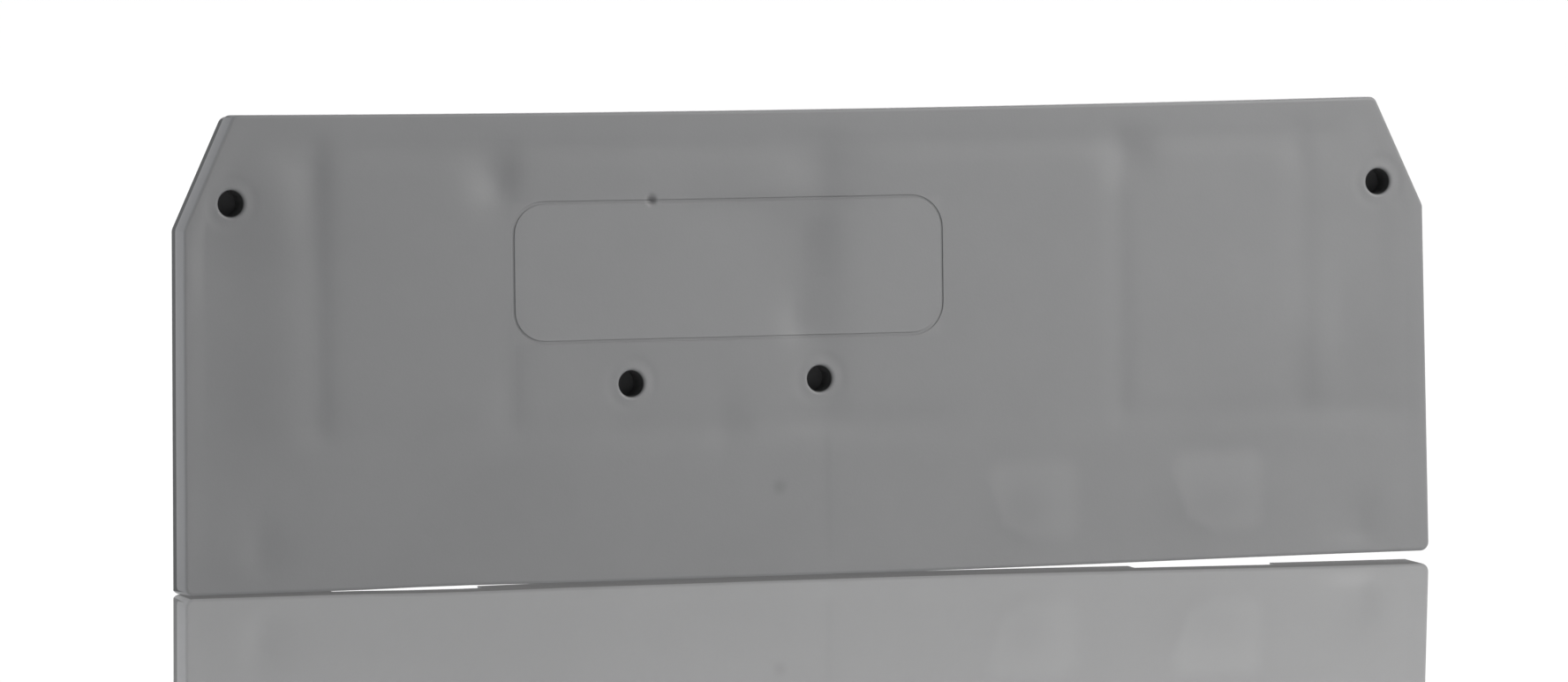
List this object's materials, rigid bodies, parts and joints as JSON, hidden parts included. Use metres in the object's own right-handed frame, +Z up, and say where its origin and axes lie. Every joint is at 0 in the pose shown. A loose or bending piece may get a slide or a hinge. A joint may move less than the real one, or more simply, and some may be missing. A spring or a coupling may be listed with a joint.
{
  "type": "terminal block end cover",
  "caption": "Thin moulded plate with chamfered upper corners that closes the open side of a rail-mounted terminal block, held by snap pegs.",
  "frame": {"origin": "on the bottom edge's plane, under the middle of the cover's box, pegs included", "axes": "+X along the length, to the right when the outer face is looked at; +Y from the outer face towards the seating face and the pegs' tips; +Z up from the bottom edge to the top edge"},
  "size_m": [0.075, 0.004, 0.0263],
  "materials": {
    "moulded_polyamide": "fine matte moulding texture"
  },
  "bodies": {
    "root": {"end_cover": "moulded_polyamide"}
  },
  "joints": []
}
